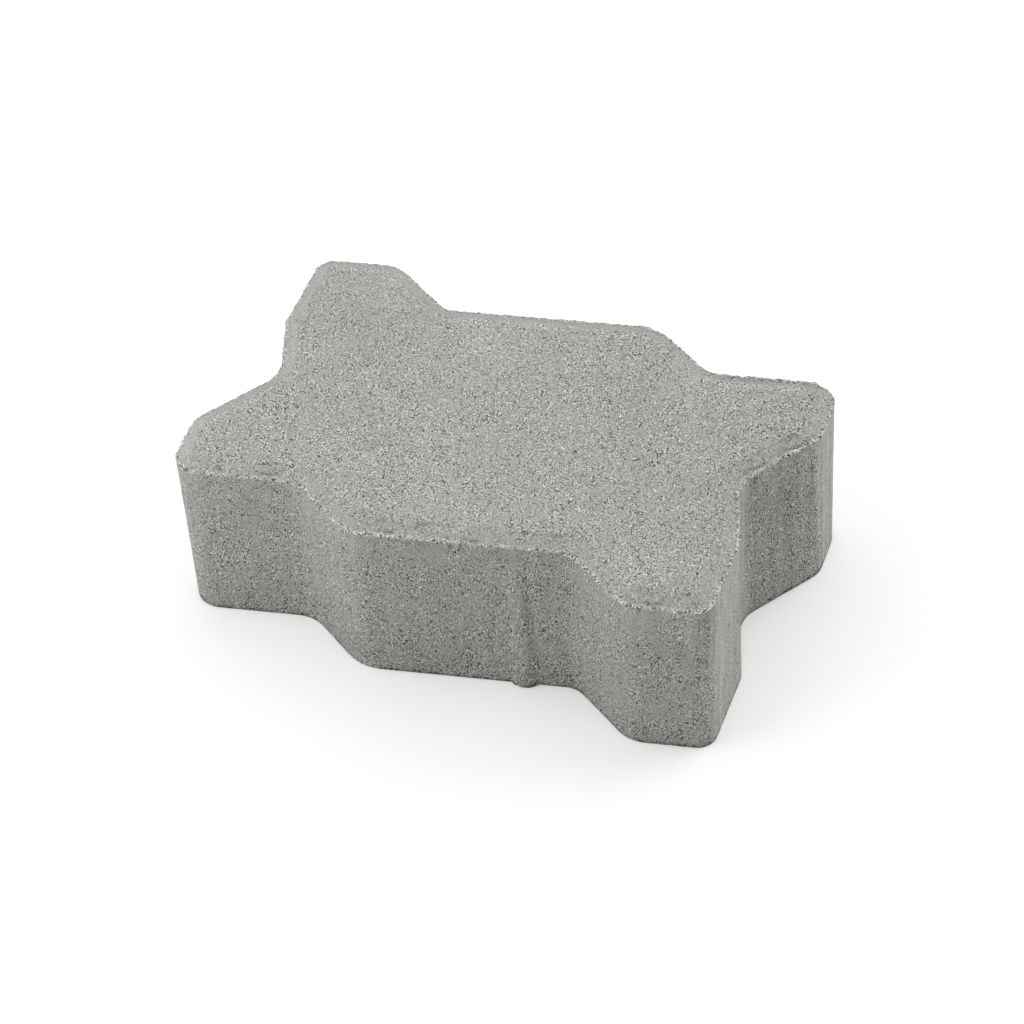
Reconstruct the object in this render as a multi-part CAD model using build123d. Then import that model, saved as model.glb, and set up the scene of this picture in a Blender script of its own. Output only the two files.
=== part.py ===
"""Zig-zag interlocking concrete paving stone, cast as one piece.

Millimetres. The stone lies on its bottom face: Z is up, the bottom is at z = 0,
the long straight runs of the outline lie along X, and the origin is under the
centre of the outline. The outline keeps its shape when it is turned half a turn
about Z, so one half of it is drawn and the other half is its turned copy.
"""
import math
import os

from build123d import *

# Cast size
THICKNESS = 80.0

# Half of the outline, walked counter-clockwise from the near left corner:
# three runs along the near side with a 45 degree step between them, then the
# cut corner, the end, the end step that a neighbour keys into, and a short run.
LEFT_RUN = 52.0
MIDDLE_RUN = 86.5
RIGHT_RUN = 32.5
SIDE_STEP = 24.0
CUT_ACROSS = 6.5
CUT_ALONG = 37.75
END_LEAN = 4.5
END_ALONG = 30.25
END_STEP = 28.5
SHORT_LEAN = 4.5
SHORT_ALONG = 30.0

# Bevelled rim round the top face
RIM_WIDTH = 7.0
RIM_DEPTH = 3.5

# Rounds of the upright edges. An outer corner is given by the round that is left
# on the top face inside the rim, an inner corner by the round of the wall itself.
LEFT_CORNER_TOP_ROUND = 4.0
FIRST_STEP_ROOT_ROUND = 16.0
SECOND_STEP_ROOT_ROUND = 11.0
FIRST_STEP_NOSE_TOP_ROUND = 13.0
SECOND_STEP_NOSE_TOP_ROUND = 9.0
NEAR_CORNER_TOP_ROUND = 1.0
CUT_TOP_ROUND = 2.0
END_STEP_ROOT_ROUND = 14.0
END_STEP_NOSE_TOP_ROUND = 6.0

# Tapered spacer nib on each middle run, which keeps the joint to the next stone open
NIB_ALONG = 66.0
NIB_HEIGHT = 70.0
NIB_FOOT_WIDTH = 11.0
NIB_FOOT_PROUD = 2.4
NIB_TOP_WIDTH = 6.0
NIB_TOP_PROUD = 0.6
NIB_ROOT = 5.0

# Each corner's move to the next corner, and the round of its upright edge
WALK = [
    ((LEFT_RUN, 0), RIM_WIDTH + LEFT_CORNER_TOP_ROUND),
    ((SIDE_STEP, -SIDE_STEP), FIRST_STEP_ROOT_ROUND),
    ((MIDDLE_RUN, 0), RIM_WIDTH + FIRST_STEP_NOSE_TOP_ROUND),
    ((SIDE_STEP, -SIDE_STEP), SECOND_STEP_ROOT_ROUND),
    ((RIGHT_RUN, 0), RIM_WIDTH + SECOND_STEP_NOSE_TOP_ROUND),
    ((CUT_ACROSS, CUT_ALONG), RIM_WIDTH + NEAR_CORNER_TOP_ROUND),
    ((-END_LEAN, END_ALONG), RIM_WIDTH + CUT_TOP_ROUND),
    ((END_STEP, END_STEP), END_STEP_ROOT_ROUND),
    ((SHORT_LEAN, SHORT_ALONG), RIM_WIDTH + END_STEP_NOSE_TOP_ROUND),
]


def half_outline():
    """Corners of one half, placed so that the half turn joins it end to end."""
    across = sum(move[0] for move, _ in WALK)
    along = sum(move[1] for move, _ in WALK)
    point = Vector(-across / 2, -along / 2)
    corners = []
    for move, _ in WALK:
        corners.append(point)
        point = point + Vector(*move)
    return corners


def rounded_outline(corners):
    """The whole outline as a face, each corner rounded by its own radius."""
    turned = [Vector(-corner.X, -corner.Y) for corner in corners]
    rounds = [corner_round for _, corner_round in WALK]
    outline = make_face(Polyline(*corners, *turned, close=True))
    for corner, corner_round in zip(corners + turned, rounds + rounds):
        vertex = outline.vertices().sort_by_distance(corner)[0]
        outline = fillet(vertex, corner_round)
    return outline


def nib_section(width, proud):
    """Section of the nib across Z: a round crest on a root that is sunk into the wall."""
    half_width = width / 2
    crest = ThreePointArc((-half_width, 0), (0, -proud), (half_width, 0))
    root = Polyline((half_width, 0), (half_width, NIB_ROOT), (-half_width, NIB_ROOT), (-half_width, 0))
    return make_face(crest + root)


def spacer_nib(corners):
    """Nib on the near middle run, widest and proudest at the bottom."""
    run_start = corners[2]
    place = Pos(run_start.X + NIB_ALONG, run_start.Y)
    foot = place * nib_section(NIB_FOOT_WIDTH, NIB_FOOT_PROUD)
    top = place * Pos(0, 0, NIB_HEIGHT) * nib_section(NIB_TOP_WIDTH, NIB_TOP_PROUD)
    return loft([foot, top], ruled=True)


half = half_outline()
stone = extrude(rounded_outline(half), THICKNESS)

top_face = stone.faces().sort_by(Axis.Z)[-1]
stone = chamfer(top_face.edges(), RIM_WIDTH, RIM_DEPTH, reference=top_face)

near_nib = spacer_nib(half)
stone = stone + near_nib + Rot(0, 0, 180) * near_nib

os.makedirs("parts", exist_ok=True)
export_step(stone, "parts/paving_stone.step")

box = stone.bounding_box()
print("solids", len(stone.solids()), "volume cm3", round(stone.volume / 1000, 1))
print("size", [round(value, 2) for value in (box.size.X, box.size.Y, box.size.Z)])
print("centre", round(box.center().X, 3), round(box.center().Y, 3), "bottom", round(box.min.Z, 3))
print("tooth pitch", round(math.hypot(MIDDLE_RUN + SIDE_STEP, SIDE_STEP), 1))
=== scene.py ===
# %% [markdown]
# # A zig-zag concrete paving stone
# The stone is pressed from one mix in a steel mould, so the whole object is one
# solid. The CAD model already holds its outline, its bevelled rim and its spacer
# nibs at full size. This lesson starts from that solid and adds what a mould and
# a dry mix leave behind: a crumbly burr along the rim, pores, drag marks on the
# sides and a skin of sand and cement.

# %% Load the CAD stone
import math

import bmesh
import bpy
from mathutils import Matrix, Vector, kdtree, noise


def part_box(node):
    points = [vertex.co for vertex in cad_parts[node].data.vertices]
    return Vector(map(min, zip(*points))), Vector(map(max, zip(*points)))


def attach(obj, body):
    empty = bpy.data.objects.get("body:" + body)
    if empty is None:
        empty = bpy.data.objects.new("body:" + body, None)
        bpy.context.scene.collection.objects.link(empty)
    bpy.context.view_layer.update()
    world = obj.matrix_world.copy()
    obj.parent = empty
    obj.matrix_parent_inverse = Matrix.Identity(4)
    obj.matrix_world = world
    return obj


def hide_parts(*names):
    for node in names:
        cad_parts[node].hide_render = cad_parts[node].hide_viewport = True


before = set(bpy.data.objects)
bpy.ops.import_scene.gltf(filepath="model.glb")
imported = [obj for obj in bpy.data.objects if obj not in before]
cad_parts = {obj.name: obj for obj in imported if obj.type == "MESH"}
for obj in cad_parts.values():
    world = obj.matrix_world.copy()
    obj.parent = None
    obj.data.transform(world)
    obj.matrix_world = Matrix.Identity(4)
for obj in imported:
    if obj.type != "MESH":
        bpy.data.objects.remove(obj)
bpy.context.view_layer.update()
cad_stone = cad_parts["paving_stone"]

# %% [markdown]
# ## Camera
# The photograph looks down on the stone from the front, a little to the right,
# through a long lens. The angles below came from fitting the straight edges of
# the outline. A camera could also be aimed with a Track To constraint, but here
# its three axes are written out, because the picture is also tilted a little.

# %% Set up the camera
AZIMUTH = math.radians(13.08)
ELEVATION = math.radians(46.29)
TILT = math.radians(-4.35)
DISTANCE = 1.436
AIM_RIGHT = -0.0014
AIM_UP = 0.0203
LENS_MM = 124.7
FILM_MM = 36

toward_camera = Vector((
    math.sin(AZIMUTH) * math.cos(ELEVATION),
    -math.cos(AZIMUTH) * math.cos(ELEVATION),
    math.sin(ELEVATION),
))
level_right = Vector((math.cos(AZIMUTH), math.sin(AZIMUTH), 0))
level_up = toward_camera.cross(level_right)
right = math.cos(TILT) * level_right + math.sin(TILT) * level_up
up = math.cos(TILT) * level_up - math.sin(TILT) * level_right

camera_data = bpy.data.cameras.new("camera")
camera_data.sensor_width = FILM_MM
camera_data.lens = LENS_MM
camera = bpy.data.objects.new("camera", camera_data)
camera.matrix_world = Matrix((right, up, toward_camera)).transposed().to_4x4()
camera.location = AIM_RIGHT * right + AIM_UP * up + DISTANCE * toward_camera
bpy.context.scene.collection.objects.link(camera)
bpy.context.scene.camera = camera
print("camera at", [round(value, 3) for value in camera.location], "lens", camera_data.lens)

# %% [markdown]
# ## Node maths
# A material is a web of nodes. Wiring a hundred of them by hand hides the idea,
# so a small class wraps a socket: adding or multiplying two of them adds the
# Math node that does it. Every other node comes from its one making method.

# %% Wrap sockets so that sums make nodes
class Wire:
    """An output socket that can be used in sums."""

    tree = None

    def __init__(self, socket):
        self.socket = socket

    @classmethod
    def node(cls, kind, settings=None, inputs=None, output=0):
        """Add a node, apply its settings, then fill or link its inputs."""
        made = cls.tree.nodes.new(kind)
        for name, value in (settings or {}).items():
            if name == "stops":
                ramp = made.color_ramp.elements
                while len(ramp) < len(value):
                    ramp.new(0.5)
                for stop, (position, shade) in zip(ramp, value):
                    stop.position = position
                    stop.color = shade
            else:
                setattr(made, name, value)
        for key, value in (inputs or {}).items():
            if isinstance(value, Wire):
                cls.tree.links.new(value.socket, made.inputs[key])
            else:
                made.inputs[key].default_value = value
        return cls(made.outputs[output]) if made.outputs else None

    @classmethod
    def maths(cls, operation, *values, clamp=False):
        """A Math node on sockets and numbers."""
        settings = {"operation": operation, "use_clamp": clamp}
        return cls.node("ShaderNodeMath", settings, dict(enumerate(values)))

    def __add__(self, other):
        return self.maths("ADD", self, other)

    def __sub__(self, other):
        return self.maths("SUBTRACT", self, other)

    def __rsub__(self, other):
        return self.maths("SUBTRACT", other, self)

    def __mul__(self, other):
        return self.maths("MULTIPLY", self, other)

    def __lt__(self, other):
        return self.maths("LESS_THAN", self, other)

    __radd__ = __add__
    __rmul__ = __mul__

    def between(self, low, high):
        """0 at low, 1 at high, and a straight slope in the middle."""
        values = {"Value": self, "From Min": low, "From Max": high}
        return self.node("ShaderNodeMapRange", {"clamp": True}, values)


def new_material(name):
    """An empty node material, ready for the wires of its finish."""
    material = bpy.data.materials.new(name)
    material.use_nodes = True
    material.node_tree.nodes.clear()
    Wire.tree = material.node_tree
    return material


print("node maths ready")

# %% [markdown]
# ## Studio
# The stone lies on white paper in a light tent: soft light from above and from
# both sides, less from the camera's side, and only a pale shadow where it meets
# the paper. The paper takes real shadow. Seen straight by the camera it also
# glows a little, which lifts it to white without putting more light on the stone.

# %% Lay the paper
PAPER_SIZE = 30
PAPER_DROP = 0.0002
PAPER_COLOUR = (0.92, 0.92, 0.92, 1)
PAPER_GLOW = 0.26
WHITE = (1, 1, 1, 1)


def seen_straight():
    """1 where the camera looks straight, in gloss or through glass, and 0 for lighting."""
    by_camera = Wire.node("ShaderNodeLightPath", output="Is Camera Ray")
    in_gloss = Wire.node("ShaderNodeLightPath", output="Is Glossy Ray")
    through_glass = Wire.node("ShaderNodeLightPath", output="Is Transmission Ray")
    return Wire.maths("ADD", by_camera + in_gloss, through_glass, clamp=True)


paper_mesh = bpy.data.meshes.new("paper")
paper_form = bmesh.new()
bmesh.ops.create_grid(paper_form, x_segments=1, y_segments=1, size=PAPER_SIZE)
bmesh.ops.translate(paper_form, verts=paper_form.verts, vec=(0, 0, -PAPER_DROP))
paper_form.to_mesh(paper_mesh)
paper_form.free()
paper = bpy.data.objects.new("paper", paper_mesh)
bpy.context.scene.collection.objects.link(paper)

paper_mesh.materials.append(new_material("white paper"))
paper_lift = seen_straight() * PAPER_GLOW
matt = Wire.node("ShaderNodeBsdfDiffuse", inputs={"Color": PAPER_COLOUR})
glow = Wire.node("ShaderNodeEmission", inputs={"Color": WHITE, "Strength": paper_lift})
paper_skin = Wire.node("ShaderNodeAddShader", inputs={0: matt, 1: glow})
Wire.node("ShaderNodeOutputMaterial", inputs={"Surface": paper_skin})
print("paper laid,", len(paper_mesh.polygons), "face")

# %% Hang the lights
LIT_SPOT = Vector((0, 0, 0.04))
TENT_LIGHT = 0.345


def softbox(name, place, size, power):
    """A square area lamp that faces the stone."""
    lamp = bpy.data.lights.new(name, "AREA")
    lamp.shape = "SQUARE"
    lamp.size = size
    lamp.energy = power
    box = bpy.data.objects.new(name, lamp)
    box.location = place
    box.rotation_euler = (LIT_SPOT - box.location).to_track_quat("-Z", "Y").to_euler()
    bpy.context.scene.collection.objects.link(box)


softbox("overhead", Vector((0.0, 0.35, 1.5)), size=1.8, power=10.9)
softbox("left side", Vector((-0.70, -0.28, 0.50)), size=0.8, power=3.2)
softbox("right side", Vector((1.15, 0.75, 0.6)), size=1.1, power=8.1)

tent = bpy.data.worlds.new("tent")
tent.use_nodes = True
tent.node_tree.nodes.clear()
Wire.tree = tent.node_tree
tent_strength = seen_straight() * (1 - TENT_LIGHT) + TENT_LIGHT
tent_glow = Wire.node("ShaderNodeBackground", inputs={"Color": WHITE, "Strength": tent_strength})
Wire.node("ShaderNodeOutputWorld", inputs={"Surface": tent_glow})
bpy.context.scene.world = tent
bpy.context.scene.view_settings.view_transform = "Standard"
print("lights hung:", [item.name for item in bpy.data.lights])

# %% [markdown]
# ## The cast block
# The CAD mesh is exact but has large flat triangles, and relief needs many small
# faces. Subdividing long thin triangles gives a poor net, so a remesh lays an even
# grid over the whole skin. Its sharp mode is used, because a voxel grid would
# round the rim off.

# %% Lay an even grid over the stone
GRID_DEPTH = 8
GRID_SCALE = 0.75
MERGE_DISTANCE = 1e-6

block_mesh = cad_stone.data.copy()
block_form = bmesh.new()
block_form.from_mesh(block_mesh)
bmesh.ops.remove_doubles(block_form, verts=block_form.verts, dist=MERGE_DISTANCE)
block_form.to_mesh(block_mesh)
block_form.free()
block = bpy.data.objects.new("block", block_mesh)
bpy.context.scene.collection.objects.link(block)
even_grid = block.modifiers.new("even grid", "REMESH")
even_grid.mode = "SHARP"
even_grid.octree_depth = GRID_DEPTH
even_grid.scale = GRID_SCALE
settled = block.evaluated_get(bpy.context.evaluated_depsgraph_get())
stone_mesh = bpy.data.meshes.new_from_object(settled)
stone_mesh.name = "stone"
bpy.data.objects.remove(block)
print("even grid of", len(stone_mesh.polygons), "faces")

# %% [markdown]
# The hidden bottom needs no grid, so it becomes one face again. The outer edge of
# the rim, where the finest crumbs stand, is divided twice more. The inner border of
# the rim and the foot are divided once.

# %% Divide the rim and the foot
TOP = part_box("paving_stone")[1].z
RIM_WIDTH = 0.007
RIM_DEPTH = 0.0035
RIM = TOP - RIM_DEPTH
FINE_BANDS = (
    (RIM - 0.0016, RIM + 0.0017),
    (RIM - 0.0007, RIM + 0.0009),
    (TOP - 0.0007, TOP - 0.00002),
    (0.0001, 0.0014),
)


def is_bottom(face):
    """Whether a face of the grid belongs to the flat bottom."""
    return face.normal.z < -0.95 and face.calc_center_median().z < 0.0004


def divide_between(low, high):
    """Split every face whose middle lies between two heights, without the bottom."""
    band = set()
    for face in stone_form.faces:
        if low < face.calc_center_median().z < high and face.normal.z > -0.9:
            band.update(face.edges)
    bmesh.ops.subdivide_edges(stone_form, edges=list(band), cuts=1, use_grid_fill=True)


stone_form = bmesh.new()
stone_form.from_mesh(stone_mesh)
bottom = [face for face in stone_form.faces if is_bottom(face)]
bmesh.ops.dissolve_faces(stone_form, faces=bottom, use_verts=True)
for low, high in FINE_BANDS:
    divide_between(low, high)
stone_form.normal_update()
print("after dividing", len(stone_form.verts), "vertices", len(stone_form.faces), "faces")

# %% [markdown]
# The marks of the rim follow the outline, so a point has to know how far in from
# the edge it lies and which way that edge faces. On the bevel its height tells the
# distance. On the flat top a search tree finds the nearest point of the border.

# %% Measure from the rim
TOP_SLACK = 0.0002


def is_bevel(face):
    """Whether a face lies on the bevelled rim, going by its slope."""
    return 0.75 < face.normal.z < 0.97


border_points = []
for face in stone_form.faces:
    if is_bevel(face):
        outward = Vector((face.normal.x, face.normal.y, 0)).normalized()
        corners = [vertex.co.copy() for vertex in face.verts if vertex.co.z > TOP - TOP_SLACK]
        border_points += [(corner, outward) for corner in corners]
border = kdtree.KDTree(len(border_points))
for index, (point, outward) in enumerate(border_points):
    border.insert(point, index)
border.balance()


def from_edge(point, normal):
    """Distance in from the outer edge, below 0 down the wall, and the way that edge faces."""
    if point.z > TOP - TOP_SLACK:
        index, distance = border.find(point)[1:]
        return RIM_WIDTH + distance, border_points[index][1]
    facing = Vector((normal.x, normal.y, 0)).normalized()
    height = point.z - RIM
    return (height * RIM_WIDTH / RIM_DEPTH if height > 0 else height), facing


print("the top has a border of", len(border_points), "points")

# %% [markdown]
# ## Places
# Most marks are only in some places: on one wall, round one lobe, or in a stripe
# along the rim. Masks painted by hand could say where, but small functions can be
# read and changed. Each gives a place as a number from 0 to 1 with soft ends, so a
# mark fades out and never stops at a hard line. A wall is known by the way it faces,
# worked out from the run of the outline there, and what points up more than UPWARD
# is the top or its rim.

# %% Shape soft masks
def ease(value, low, high):
    """0 below low, 1 above high, and a soft slope in the middle."""
    share = min(1.0, max(0.0, (value - low) / (high - low)))
    return share * share * (3 - 2 * share)


def nearness(point, centre, core, reach):
    """1 within the core round a centre, 0 beyond its reach."""
    return 1 - ease((point - centre).length, core, reach)


def stripe(value, middle, core, reach):
    """1 within the core of a stripe, 0 beyond its reach on both sides."""
    return 1 - ease(abs(value - middle), core, reach)


def ripple(point, waves, shift=(0, 0, 0)):
    """Smooth noise from -1 to 1 with the given number of waves a metre."""
    return noise.noise(point * waves + Vector(shift))


print("a mask rises softly:", [round(ease(value, 0, 4), 2) for value in range(5)])

# %% Name the places on the stone
UPWARD = 0.7
STEP_FACING = Vector((1, 1, 0)).normalized()
CUT_FACING = Vector((37.75, -6.5, 0)).normalized()
HEAVY_LOBE = Vector((0.100, 0.045, RIM))
BARE_LOBE = Vector((-0.078, 0.085, RIM))
BARE_END = Vector((-0.115, 0.000, RIM))
LARGE_PORE = Vector((0.0299, -0.0119, TOP))


def faces_like(facing, wall, low, high):
    """1 where the edge faces along a wall's normal or straight against it."""
    return ease(abs(facing.dot(wall)), low, high)


def on_run(facing):
    """1 on the straight runs and the ends, 0 on the sloping steps."""
    return 1 - faces_like(facing, STEP_FACING, 0.84, 0.97)


def on_cut(facing):
    """1 on the cut corners."""
    return faces_like(facing, CUT_FACING, 0.86, 0.99)


def in_notch(facing):
    """1 on the end steps that a neighbour keys into."""
    return ease(-facing.x * facing.y, 0.17, 0.48)


def at_back(facing):
    """1 on the edges at the back."""
    return ease(facing.y, 0.5, 1.0)


def on_bevel(point):
    """0 on the flat top, 1 on the bevelled rim."""
    return ease(TOP - point.z, 0.0002, 0.0008)


def on_heavy_lobe(point):
    """1 on the wide lobe, 0 away from it."""
    return nearness(point, HEAVY_LOBE, 0.030, 0.055)


print("the wide lobe is", round(1000 * HEAVY_LOBE.x), "mm right of the middle")

# %% [markdown]
# ## Relief
# Real concrete is never flat. The mix settles in slow waves, grit stands proud,
# air leaves pores, and lifting the mould drags upright streaks into the sides.
# Each point moves along its own normal by the sum of these, all read from noise
# fields that give the same answer on every run.

# %% Describe the relief of the skin
WAVE = 0.00015
LUMP = 0.00010
GRIT = 0.00012
DRAG = 0.00010
TOP_PORE = 0.0006
SIDE_PORE = 0.0007
LARGE_PORE_DEPTH = 0.0010
LARGE_PORE_REACH = 0.0016
PORE_DRAW = 7.3


def pore_depth(point, density, share, reach):
    """Depth from 0 to 1 of a round pore, in the few cells that hold one."""
    distances, centres = noise.voronoi(point * density)
    if noise.cell(centres[0] * PORE_DRAW) > 2 * share - 1:
        return 0.0
    return max(0.0, 1 - (distances[0] / reach) ** 2)


def relief(point, normal):
    """How far a point of the skin stands out, in metres."""
    wave = WAVE * ripple(point, 20)
    lump = LUMP * ripple(point, 140, (3, 1, 7))
    grit = GRIT * ripple(point, 380)
    if normal.z > UPWARD:
        pores = TOP_PORE * pore_depth(point, density=130, share=0.05, reach=0.16)
        from_large_pore = (point - LARGE_PORE).length / LARGE_PORE_REACH
        large = LARGE_PORE_DEPTH * max(0.0, 1 - from_large_pore ** 2)
        return wave + (1 - 0.6 * on_bevel(point)) * (lump + grit) - pores - large
    drag = DRAG * noise.noise(Vector((point.x * 260, point.y * 260, point.z * 13)))
    pores = SIDE_PORE * pore_depth(point, density=120, share=0.06, reach=0.17)
    return wave + lump + 0.5 * grit + drag - pores


print("pores are at most", 1000 * TOP_PORE, "mm deep on the top and", 1000 * SIDE_PORE, "mm on a side")

# %% [markdown]
# Concrete also squeezes up between the stamp and the mould. That leaves a burr on
# the outer edge of the rim, a low bank of crumbs that hangs a little over the wall.
# It is heaviest on the wide lobe, and the sloping steps, the narrow lobe and the
# left end hardly have one. The near edges of the rim have cracked as the stamp was
# lifted: just inside the burr and where the rim meets the top, in short lengths.

# %% Describe the burr
BURR = 0.0009
BURR_TOP = 0.0009
BURR_FOOT = 0.0018
BURR_HANG = 0.0010
BURR_LEAN = 0.0004
CRUMBS = 620


def burr_share(point, away):
    """1 on the burr's top, falling to 0 at its foot on the rim and raggedly down the wall."""
    if away > 0:
        return 1 - ease(away, BURR_TOP, BURR_FOOT)
    teeth = noise.noise(Vector((point.x * 700, point.y * 700, 0)))
    return max(0.0, 1 + away / (BURR_HANG * max(0.3, 0.9 + 1.4 * teeth)))


def burr_height(point, facing):
    """Height of the burr at this place on the rim."""
    by_place = 0.2 + 0.8 * on_run(facing)
    by_place *= 1 - 0.8 * nearness(point, BARE_LOBE, 0.030, 0.060)
    by_place *= 1 - 0.8 * nearness(point, BARE_END, 0.027, 0.045)
    by_place *= 1 + 0.2 * on_heavy_lobe(point) - 0.5 * ease(facing.y, 0.3, 0.9)
    long_wave = max(0.4, 0.95 + 0.5 * ripple(point, 30, (0, 0, 5)))
    ragged = max(0.0, 0.9 + 0.25 * ripple(point, 250) + 0.4 * ripple(point, 760))
    return BURR * by_place * long_wave * ragged


def burr_lean(point, height):
    """How far the burr leans out over the wall, more where it is high."""
    return BURR_LEAN * (height / BURR - 0.3 + 1.2 * ripple(point, CRUMBS, (8, 3, 1)))


print("the burr stands about", 1000 * BURR, "mm high")

# %% Describe the cracks
CRACK = 0.0003
CRACK_LINES = (0.0024, 0.0063)
CRACK_REACH = 0.0009
CRACK_WANDER = 0.0014


def crack_share(point, away, facing):
    """1 in the middle of a crack, 0 beside it and where the rim is whole."""
    near_side = ease(-facing.y, 0.2, 0.7) * (0.15 + 0.85 * on_run(facing))
    astray = away + CRACK_WANDER * ripple(point, 170, (4, 4, 4))
    on_line = max(stripe(astray, line, 0.3 * CRACK_REACH, CRACK_REACH) for line in CRACK_LINES)
    open_here = ease(ripple(point, 110) + 0.8 * ripple(point, 330), 0.0, 0.4)
    return on_line * open_here * near_side


print("the cracks are", 1000 * CRACK, "mm deep, along", len(CRACK_LINES), "lines")

# %% [markdown]
# ## Skin
# The finish needs to know more about each place than its coordinates. So every point also keeps four
# numbers for the material to read: how calm the mould has left the skin there, how many pits it has,
# how strongly the mould dragged over it, and a tint that lightens or darkens it. Each is a plain
# amount with what the places add to it or take away, tuned beside the photograph.

# %% Say how calm the skin is
TOP_CALM = 0.28
BEVEL_CALM = 0.30
BACK_CALM = 0.25
NARROW_LOBE_CALM = 0.20
SIDE_CALM = 0.11
UNDER_RIM_CALM = 0.20
CUT_CALM = 0.42
NOTCH_CALM = -0.10
NEAR_LOBE_CALM = 0.10
NEAR_LOBE = Vector((0.075, -0.087, 0.040))


def calmness(point, normal, facing):
    """0 where the skin is coarse, 1 where the mould has left it smooth."""
    patches = 0.5 + 1.3 * ripple(point, 80) + 1.2 * ripple(point, 170)
    if normal.z > UPWARD:
        behind = ease(facing.y - 0.6 * facing.x, -0.2, 0.5)
        behind -= 1.2 * at_back(facing) * on_heavy_lobe(point)
        calm = TOP_CALM + 0.20 * patches
        calm += on_bevel(point) * (BEVEL_CALM + BACK_CALM * behind)
        calm += NARROW_LOBE_CALM * nearness(point, BARE_LOBE, 0.020, 0.075)
    else:
        calm = SIDE_CALM + 0.42 * patches
        calm += UNDER_RIM_CALM * ease(point.z, 0.060, 0.072)
        calm += CUT_CALM * on_cut(facing) + NOTCH_CALM * in_notch(facing)
        calm += NEAR_LOBE_CALM * nearness(point, NEAR_LOBE, 0.025, 0.050)
    return min(1.0, max(0.0, calm))


print("the calm of the plain top is", TOP_CALM, "and of the plain sides", SIDE_CALM)

# %% Say how pitted and dragged the skin is
TOP_PITS = 0.03
SIDE_PITS = 0.08
BURR_PITS = 0.30
HEAVY_LOBE_PITS = 0.35
SIDE_DRAG = 0.22
NOTCH_DRAG = 0.40
CUT_DRAG = 0.35


def pit_share(point, normal, facing):
    """Share of the pit cells that hold a pit: most just under the burr."""
    if normal.z > UPWARD:
        return TOP_PITS
    under_burr = ease(point.z, RIM - 0.0022, RIM - 0.0012) * on_run(facing)
    return SIDE_PITS + under_burr * (BURR_PITS + HEAVY_LOBE_PITS * on_heavy_lobe(point))


def drag_share(facing):
    """How strongly the mould has streaked this wall: most on the ends."""
    into_notch = ease(-facing.x * facing.y, 0.10, 0.40)
    return SIDE_DRAG + NOTCH_DRAG * into_notch + CUT_DRAG * on_cut(facing)


print("pits fill", TOP_PITS, "of the cells on the top and", SIDE_PITS, "on a side")

# %% Paint light and shade on the rim
# These amounts are painted light and shade, for how the light falls on each part of the rim.
BEVEL_PAINTED_LIGHT = 0.03
BACK_BEVEL_PAINTED_SHADE = -0.05
LEFT_BEVEL_PAINTED_LIGHT = 0.05
BACK_STRIP_PAINTED_SHADE = -0.03
HEAVY_STRIP_PAINTED_SHADE = -0.08
PAINTED_HIGHLIGHT_LINE = 0.0080
PAINTED_HIGHLIGHT_TINT = 0.07


def painted_rim_light(point, away, facing):
    """Painted light and shade on the rim: the bevel painted lighter than the top, darker at the back
    and lighter still on the left, a painted shade strip along the back edge, and a painted highlight
    line inside it.
    """
    bevel = 1 - ease(away, RIM_WIDTH - 0.0016, RIM_WIDTH - 0.0004)
    at_left = ease(-facing.x, 0.75, 1.0)
    painted_shade_strip = at_back(facing) * (1 - ease(away, 0.0040, 0.0060))
    painted_highlight = stripe(away, PAINTED_HIGHLIGHT_LINE, 0.0006, 0.0020) * ease(facing.y - 0.3 * facing.x, 0.2, 0.8)
    total = bevel * (BEVEL_PAINTED_LIGHT + BACK_BEVEL_PAINTED_SHADE * at_back(facing) + LEFT_BEVEL_PAINTED_LIGHT * at_left)
    total += painted_shade_strip * (BACK_STRIP_PAINTED_SHADE + HEAVY_STRIP_PAINTED_SHADE * on_heavy_lobe(point))
    return total + PAINTED_HIGHLIGHT_TINT * painted_highlight


print("a light line runs", 1000 * PAINTED_HIGHLIGHT_LINE, "mm in from the edge at the back")

# %% Say how light the sides are, with painted light and shade
# The tints of the walls by the way they face are painted light and shade, not colours of the mix.
SIDE_PAINTED_SHADE = -0.048
CUT_PAINTED_LIGHT = 0.055
STEP_PAINTED_SHADE = -0.030
END_PAINTED_SHADE = -0.10
NOTCH_PAINTED_LIGHT = 0.020
UNDER_RIM_TINT = 0.025
OUTER_RIM_TINT = 0.055
FOOT_TINT = -0.040
CONTACT_PAINTED_SHADOW = -0.40
NIB_PAINTED_SHADE = -0.15
NIB_SHADE = 0.0184
END_FACING = Vector((30.25, 4.5, 0)).normalized()


def painted_wall_light(facing):
    """Painted light and shade by the way that a wall faces: the sides darker than the top, the cut
    corners lighter, the steps and the end wall darker, the notch a little lighter.
    """
    on_step = faces_like(facing, STEP_FACING, 0.88, 0.99)
    on_end = faces_like(facing, END_FACING, 0.96, 0.995)
    total = SIDE_PAINTED_SHADE + CUT_PAINTED_LIGHT * on_cut(facing) + STEP_PAINTED_SHADE * on_step
    return total + END_PAINTED_SHADE * on_end + NOTCH_PAINTED_LIGHT * in_notch(facing)


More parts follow.
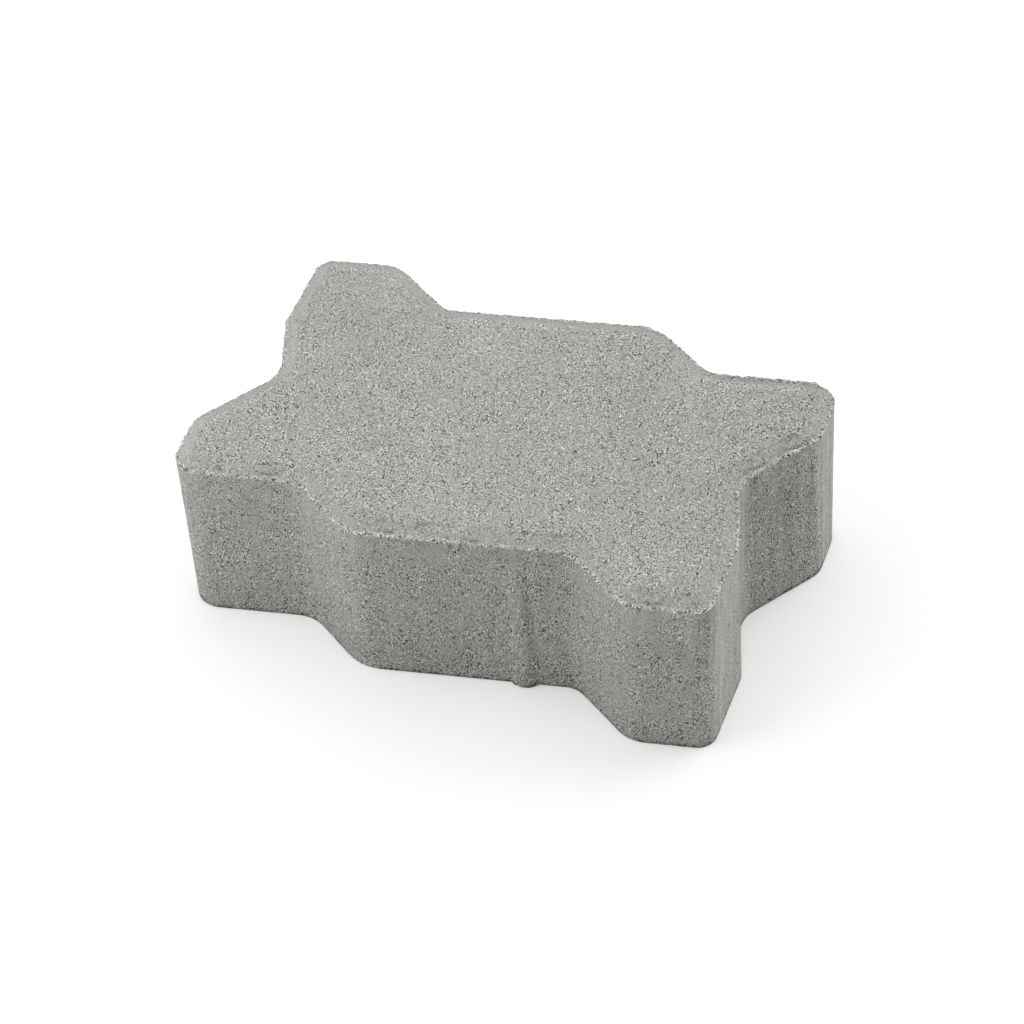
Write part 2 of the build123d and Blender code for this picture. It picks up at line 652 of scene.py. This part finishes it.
def side_tone_and_painted_light(point, facing):
    """A side is lighter under the rim and darker at the foot, takes the painted light and shade of the
    way it faces, and has a painted contact shadow along the foot and painted shade beside the nib.
    """
    under_rim = ease(point.z, 0.052, 0.072) * ease(-facing.y, 0.3, 0.7) * (1 - in_notch(facing))
    outer = ease(abs(point.x), 0.030, 0.070)
    near_foot = 1 - ease(point.z, 0.0, 0.035)
    # A painted contact shadow: a thin dark line where the side meets the paper.
    contact_shadow = 1 - ease(point.z, 0.0006, 0.0022)
    contact_shadow *= 0.5 + 0.3 * on_run(facing) + ripple(point, 250)
    # Painted shade in a stripe beside the nib, on its side away from the light.
    painted_nib_shade = stripe(point.x, NIB_SHADE, 0.0004, 0.0020) * (1 - ease(point.z, 0.030, 0.056))
    painted_nib_shade *= ease(-facing.y, 0.5, 0.8)
    total = painted_wall_light(facing) + under_rim * (UNDER_RIM_TINT + OUTER_RIM_TINT * outer)
    total += FOOT_TINT * near_foot + CONTACT_PAINTED_SHADOW * contact_shadow
    return total + NIB_PAINTED_SHADE * painted_nib_shade


print("a cut corner is lighter by", CUT_PAINTED_LIGHT, "and an end darker by", -END_PAINTED_SHADE)

# %% [markdown]
# A few wide patches are lighter or darker than the rest: some where the mix dried unevenly, and some
# painted light and shade, lighter on the left and darker on the right, where the light falls off
# across the stone. Each has a centre, a reach and a strength. The crest of the burr is speckled light
# and dark and painted lighter, partly its pale crumbs and partly a painted highlight, and the cracks
# are painted dark, a painted shade in them.

# %% Add up the tone and the painted light and shade
DRYING_AND_LIGHT_PATCHES = (
    (Vector((-0.100, -0.039, 0.040)), 0.055, 0.060),
    (Vector((-0.015, 0.053, 0.080)), 0.024, 0.030),
    (Vector((-0.010, 0.033, 0.080)), 0.026, 0.020),
    (Vector((-0.034, -0.005, 0.080)), 0.022, 0.016),
    (Vector((0.045, 0.013, 0.080)), 0.026, -0.016),
    (Vector((0.080, -0.030, 0.080)), 0.045, -0.022),
    (Vector((0.124, 0.030, 0.078)), 0.020, -0.040),
    (Vector((0.101, -0.016, 0.040)), 0.052, -0.060),
)
CREST_PALE_AND_HIGHLIGHT = 0.07
CRUMB_CONTRAST = 0.24
HEAVY_CRUMB_CONTRAST = 0.26
CRACK_PAINTED_SHADE = -0.24


def tint(point, normal, away, facing):
    """How much lighter or darker this place is than the plain mix: its patches and crumbs, and the
    painted light and shade of the rim and the sides.
    """
    total = 0.0
    for centre, reach, strength in DRYING_AND_LIGHT_PATCHES:
        total += strength * nearness(point, centre, 0.2 * reach, reach)
    if normal.z > UPWARD:
        return total + painted_rim_light(point, away, facing)
    return total + side_tone_and_painted_light(point, facing)


def crest_crumbs_and_highlight(point, share):
    """Light and dark crumbs on the crest of the burr, and the crest painted lighter: partly the
    crumbs' pale colour and partly a painted highlight.
    """
    contrast = CRUMB_CONTRAST + HEAVY_CRUMB_CONTRAST * on_heavy_lobe(point)
    return ease(share, 0.5, 1.0) * (CREST_PALE_AND_HIGHLIGHT + contrast * ripple(point, CRUMBS))


print("the skin has", len(DRYING_AND_LIGHT_PATCHES), "lighter or darker patches")

# %% [markdown]
# Now one pass over all points measures each of them where the CAD left it, keeps
# its four numbers, and moves it. The lowest points stay on the paper.

# %% Move every point of the skin
FOOT_SLACK = 0.0003
SMOOTH_BELOW = math.radians(50)

calm_layer = stone_form.verts.layers.float.new("calm")
pit_layer = stone_form.verts.layers.float.new("pits")
drag_layer = stone_form.verts.layers.float.new("drag")
# The last number, the tint, holds the tone of the mix and also painted light and shade.
tone_and_light_layer = stone_form.verts.layers.float.new("tint")
for vertex in stone_form.verts:
    point = vertex.co.copy()
    normal = vertex.normal.copy()
    away, facing = from_edge(point, normal)
    share = burr_share(point, away)
    in_crack = crack_share(point, away, facing)
    # The crest is painted lighter, and the cracks get painted shade on top of their depth.
    crest_light_and_crack_shade = crest_crumbs_and_highlight(point, share) + CRACK_PAINTED_SHADE * in_crack
    vertex[calm_layer] = (1 - ease(share, 0.2, 0.7)) * calmness(point, normal, facing)
    vertex[pit_layer] = pit_share(point, normal, facing)
    vertex[drag_layer] = drag_share(facing)
    vertex[tone_and_light_layer] = tint(point, normal, away, facing) + crest_light_and_crack_shade
    if point.z < FOOT_SLACK:
        vertex.co.z = 0.0
        continue
    vertex.co += normal * (relief(point, normal) * (1 - share) - CRACK * in_crack)
    if share > 0:
        height = burr_height(point, facing)
        vertex.co.z += share * height
        vertex.co += facing * share ** 2 * burr_lean(point, height)

stone_form.to_mesh(stone_mesh)
stone_form.free()
for polygon in stone_mesh.polygons:
    polygon.use_smooth = True
stone_mesh.set_sharp_from_angle(angle=SMOOTH_BELOW)
stone = bpy.data.objects.new("stone", stone_mesh)
bpy.context.scene.collection.objects.link(stone)
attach(stone, "root")
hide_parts("paving_stone")
triangles = sum(len(polygon.vertices) - 2 for polygon in stone_mesh.polygons)
print("stone has", triangles, "triangles")

# %% [markdown]
# ## Concrete finish
# Grey cement holds light and dark sand, so up close the colour is a web of short strokes, and from
# further off it clouds gently. A plain noise looks like felt, so the sine of a noise is taken: it
# folds the blobs into thin winding strokes, light beside dark. Voronoi cells add single grains of
# sand, and a few wide cells hold a pit, sunk by the bump and painted dark, a painted shade in the
# hollow. On the sides the strokes are drawn out upright, as the mould was lifted.

# %% Read the place and the numbers of the skin
BEND_WAVES = 900
BEND = 0.0011

concrete = new_material("concrete")
place = Wire.node("ShaderNodeTexCoord", output="Object")
level = Wire.node("ShaderNodeSeparateXYZ", inputs={"Vector": place}, output="Z")
calm_here = Wire.node("ShaderNodeAttribute", {"attribute_name": "calm"}, output="Fac")
pits_here = Wire.node("ShaderNodeAttribute", {"attribute_name": "pits"}, output="Fac")
drag_here = Wire.node("ShaderNodeAttribute", {"attribute_name": "drag"}, output="Fac")
tone_and_light_here = Wire.node("ShaderNodeAttribute", {"attribute_name": "tint"}, output="Fac")
on_side = level.between(RIM, RIM - 0.0010)
bend = Wire.node(
    "ShaderNodeTexNoise",
    inputs={"Vector": place, "Scale": BEND_WAVES, "Detail": 1.0},
    output="Color",
)
bent = Wire.node(
    "ShaderNodeVectorMath",
    {"operation": "MULTIPLY_ADD"},
    {0: bend, 1: (BEND, BEND, BEND), 2: place},
)
print("finish reads", len(concrete.node_tree.nodes), "nodes so far")

# %% Make grains and noise at any place
def field(scale, detail, at=place):
    """Smooth noise from 0 to 1 with the given number of waves a metre."""
    return Wire.node("ShaderNodeTexNoise", inputs={"Vector": at, "Scale": scale, "Detail": detail})


def cells(scale, at, output):
    """Grains of random shape, given by their distance or their random colour."""
    return Wire.node("ShaderNodeTexVoronoi", inputs={"Vector": at, "Scale": scale}, output=output)


def own_tone(scale, at):
    """A random number from 0 to 1 for each grain."""
    colour = cells(scale, at, "Color")
    return Wire.node("ShaderNodeSeparateColor", inputs={"Color": colour}, output="Red")


def stretched(at, factors):
    """Coordinates that are denser or drawn out along each axis."""
    return Wire.node("ShaderNodeVectorMath", {"operation": "MULTIPLY"}, {0: at, 1: factors})


def turned(at, angles):
    """Coordinates turned about the three axes."""
    return Wire.node("ShaderNodeMapping", inputs={"Vector": at, "Rotation": angles})


print("grains and noise ready")

# %% [markdown]
# A noise is built on a square net, and a flat face that lies along the net shows
# paler strokes than one that cuts across it. So the coordinates of the strokes are
# turned off the axes of the stone.

# %% Draw the strokes and the sand
STROKES = 1350
FOLDS = 6.5
DARK_BIAS = 0.04
STROKE_CLOUDS = 480
STROKE_STRENGTH = 0.55
STROKE_CHANGE = 1.6
FINE_SAND = 1900
SAND_CONTRAST = 0.35
TOP_GRAIN = (1.2, 1.0, 1.2)
SIDE_GRAIN = (1.4, 1.4, 0.9)
OFF_AXIS = (0.5, 0.8, 0.3)


def grain_at(at):
    """Winding strokes, the dark ones a little stronger, with grains of sand among them."""
    strokes = Wire.maths("SINE", (field(STROKES, 0.0, at) - 0.5) * FOLDS)
    strength = STROKE_STRENGTH + (field(STROKE_CLOUDS, 0.0, at) - 0.5) * STROKE_CHANGE
    sand = (own_tone(FINE_SAND, at) - 0.5) * SAND_CONTRAST
    return (strokes - strokes * strokes * DARK_BIAS) * strength + sand


top_grains = grain_at(turned(stretched(place, TOP_GRAIN), OFF_AXIS))
side_grains = grain_at(turned(stretched(place, SIDE_GRAIN), OFF_AXIS))
grains = top_grains + (side_grains - top_grains) * on_side
coarseness = 0.90 - calm_here * 0.62
print("strokes drawn with", len(concrete.node_tree.nodes), "nodes so far")

# %% Add pits, clouds and streaks
PIT_CELLS = 400
PIT_PAINTED_SHADE = 0.34
MOTTLE_WAVES = 210
MOTTLE_TONE = 0.10
CLOUD_WAVES = 26
CLOUD_TONE = 0.18
STREAK_WAVES = 340
DRAG_MARKS = (1, 1, 0.05)
PLAIN_TONE = 0.53

# A chosen pit is painted dark: painted shade in the hollow that the bump sinks.
pit_chosen = own_tone(PIT_CELLS, bent) < pits_here
pit = cells(PIT_CELLS, bent, "Distance").between(0.34, 0.16) * pit_chosen
mottle = field(MOTTLE_WAVES, 1.0) - 0.5
cloud = field(CLOUD_WAVES, 3.0) - 0.5
streak = (field(STREAK_WAVES, 2.5, stretched(bent, DRAG_MARKS)) - 0.5) * on_side * drag_here
# The large pore is painted darker towards its middle: painted shade in the hollow that the relief also
# sinks.
from_pore = Wire.node(
    "ShaderNodeVectorMath",
    {"operation": "DISTANCE"},
    {0: bent, 1: LARGE_PORE},
    output="Value",
)
large_pore_painted_shade = from_pore.between(0.0011, 0.0005) * 0.26 + from_pore.between(0.0022, 0.0008) * 0.10

tone = PLAIN_TONE + coarseness * grains - pit * PIT_PAINTED_SHADE
tone = tone + mottle * MOTTLE_TONE + cloud * CLOUD_TONE + streak + tone_and_light_here - large_pore_painted_shade
print("tone made with", len(concrete.node_tree.nodes), "nodes so far")

# %% [markdown]
# Last, the tone picks a warm grey from a ramp. The same grains and pits also lift
# and sink the surface a little by a bump, below what the grid can carry.

# %% Colour the concrete
DARKEST_TONE = -0.2
MIDDLE_TONE = 0.5
PALEST_TONE = 1.4
DARKEST = (0.040, 0.039, 0.036, 1)
MIDDLE = (0.384, 0.378, 0.361, 1)
PALEST = (0.860, 0.853, 0.824, 1)
GRAIN_HEIGHT = 0.6
BUMP_DEPTH = 0.0004
BUMP_STRENGTH = 0.55
ROUGHNESS = 0.92

middle_stop = (MIDDLE_TONE - DARKEST_TONE) / (PALEST_TONE - DARKEST_TONE)
shade = Wire.node(
    "ShaderNodeValToRGB",
    {"stops": [(0.0, DARKEST), (middle_stop, MIDDLE), (1.0, PALEST)]},
    {"Fac": tone.between(DARKEST_TONE, PALEST_TONE)},
)
bump = Wire.node(
    "ShaderNodeBump",
    inputs={
        "Strength": BUMP_STRENGTH,
        "Distance": BUMP_DEPTH,
        "Height": grains * coarseness * GRAIN_HEIGHT - pit,
    },
)
skin = Wire.node(
    "ShaderNodeBsdfPrincipled",
    inputs={"Base Color": shade, "Roughness": ROUGHNESS, "Normal": bump},
)
Wire.node("ShaderNodeOutputMaterial", inputs={"Surface": skin})
stone_mesh.materials.clear()
stone_mesh.materials.append(concrete)
print("concrete mixed with", len(concrete.node_tree.nodes), "nodes")
